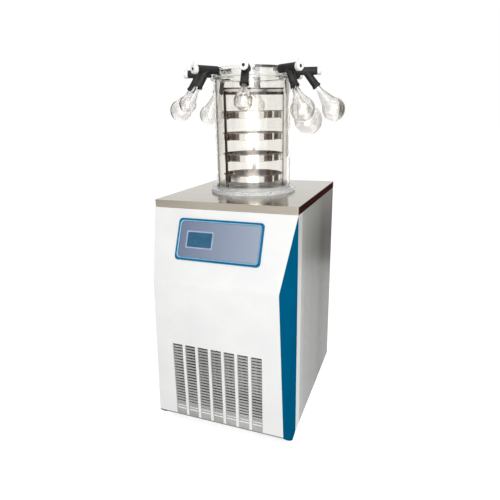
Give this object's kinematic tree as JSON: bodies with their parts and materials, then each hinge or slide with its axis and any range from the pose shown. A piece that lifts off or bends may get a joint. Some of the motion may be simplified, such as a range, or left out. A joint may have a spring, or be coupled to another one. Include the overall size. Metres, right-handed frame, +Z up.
{
  "type": "freeze dryer",
  "caption": "Floor-standing laboratory freeze dryer with a bulged front, clear drying chamber, tray rack and flask manifold.",
  "frame": {"origin": "middle of the bounding box, on the floor", "axes": "+Z up, -Y towards the control panel, +X to the user's right"},
  "size_m": [0.5476, 0.626, 1.1305],
  "materials": {
    "white_paint": "smooth satin powder coat",
    "blue_paint": "satin powder coat",
    "worktop_steel": "brushed stainless sheet",
    "bright_steel": "polished stainless",
    "grille_grey": "grey coated sheet",
    "acrylic": "clear acrylic",
    "flask_glass": "clear laboratory glass",
    "valve_rubber": "moulded black rubber",
    "knob_white": "glossy white plastic",
    "panel_blue": "satin moulded bezel",
    "membrane_grey": "printed film, fine texture",
    "display_blue": "display window",
    "seal_white": "silicone seal",
    "foam": "rigid insulation foam",
    "pan_steel": "galvanised sheet",
    "fin_aluminium": "finned block",
    "black_plastic": "moulded black plastic",
    "compressor_black": "black enamel",
    "foot_rubber": "moulded rubber"
  },
  "bodies": {
    "dryer": {"base_pan": "pan_steel", "foot_1": "foot_rubber", "foot_2": "foot_rubber", "foot_3": "foot_rubber", "foot_4": "foot_rubber", "side_panel_left": "white_paint", "side_panel_right": "white_paint", "back_panel": "white_paint", "mains_inlet": "black_plastic", "front_frame": "white_paint", "front_cover": "white_paint", "grille_panel": "grille_grey", "flank_left": "blue_paint", "flank_right": "blue_paint", "control_bezel": "panel_blue", "control_membrane": "membrane_grey", "display_window": "display_blue", "worktop": "worktop_steel", "cold_trap": "bright_steel", "trap_coil": "bright_steel", "trap_jacket": "foam", "vacuum_pipe": "bright_steel", "chamber_gasket": "seal_white", "chamber": "acrylic", "base_flange": "acrylic", "lid_gasket": "seal_white", "manifold_lid": "acrylic", "valve_1": "valve_rubber", "flask_1": "flask_glass", "valve_2": "valve_rubber", "flask_2": "flask_glass", "valve_3": "valve_rubber", "flask_3": "flask_glass", "valve_4": "valve_rubber", "flask_4": "flask_glass", "valve_5": "valve_rubber", "flask_5": "flask_glass", "valve_6": "valve_rubber", "flask_6": "flask_glass", "valve_7": "valve_rubber", "flask_7": "flask_glass", "valve_8": "valve_rubber", "flask_8": "flask_glass", "rack": "bright_steel", "tray_1": "bright_steel", "tray_2": "bright_steel", "tray_3": "bright_steel", "tray_4": "bright_steel", "condenser": "fin_aluminium", "compressor": "compressor_black"},
    "knob_1_body": {"knob_1": "knob_white"},
    "knob_2_body": {"knob_2": "knob_white"},
    "knob_3_body": {"knob_3": "knob_white"},
    "knob_4_body": {"knob_4": "knob_white"},
    "knob_5_body": {"knob_5": "knob_white"},
    "knob_6_body": {"knob_6": "knob_white"},
    "knob_7_body": {"knob_7": "knob_white"},
    "knob_8_body": {"knob_8": "knob_white"},
    "fan_body": {"fan": "fin_aluminium"}
  },
  "joints": [
    {"name": "knob_1_turn", "type": "hinge", "parent": "dryer", "child": "knob_1_body", "pos_m": [0.18606, 0.08246, 1.1115], "axis": [0.969, 0.247, 0], "range_deg": [0, 180]},
    {"name": "knob_2_turn", "type": "hinge", "parent": "dryer", "child": "knob_2_body", "pos_m": [0.0924, 0.20767, 1.1115], "axis": [0.5105, 0.8599, 0], "range_deg": [0, 180]},
    {"name": "knob_3_turn", "type": "hinge", "parent": "dryer", "child": "knob_3_body", "pos_m": [-0.06237, 0.22997, 1.1115], "axis": [-0.247, 0.969, 0], "range_deg": [0, 180]},
    {"name": "knob_4_turn", "type": "hinge", "parent": "dryer", "child": "knob_4_body", "pos_m": [-0.18758, 0.1363, 1.1115], "axis": [-0.8599, 0.5105, 0], "range_deg": [0, 180]},
    {"name": "knob_5_turn", "type": "hinge", "parent": "dryer", "child": "knob_5_body", "pos_m": [-0.20988, -0.01846, 1.1115], "axis": [-0.969, -0.247, 0], "range_deg": [0, 180]},
    {"name": "knob_6_turn", "type": "hinge", "parent": "dryer", "child": "knob_6_body", "pos_m": [-0.11621, -0.14367, 1.1115], "axis": [-0.5105, -0.8599, 0], "range_deg": [0, 180]},
    {"name": "knob_7_turn", "type": "hinge", "parent": "dryer", "child": "knob_7_body", "pos_m": [0.03855, -0.16597, 1.1115], "axis": [0.247, -0.969, 0], "range_deg": [0, 180]},
    {"name": "knob_8_turn", "type": "hinge", "parent": "dryer", "child": "knob_8_body", "pos_m": [0.16376, -0.0723, 1.1115], "axis": [0.8599, -0.5105, 0], "range_deg": [0, 180]},
    {"name": "fan_spin", "type": "hinge", "parent": "dryer", "child": "fan_body", "pos_m": [-0.01191, -0.11, 0.1318], "axis": [0, 1, 0], "continuous": true}
  ]
}
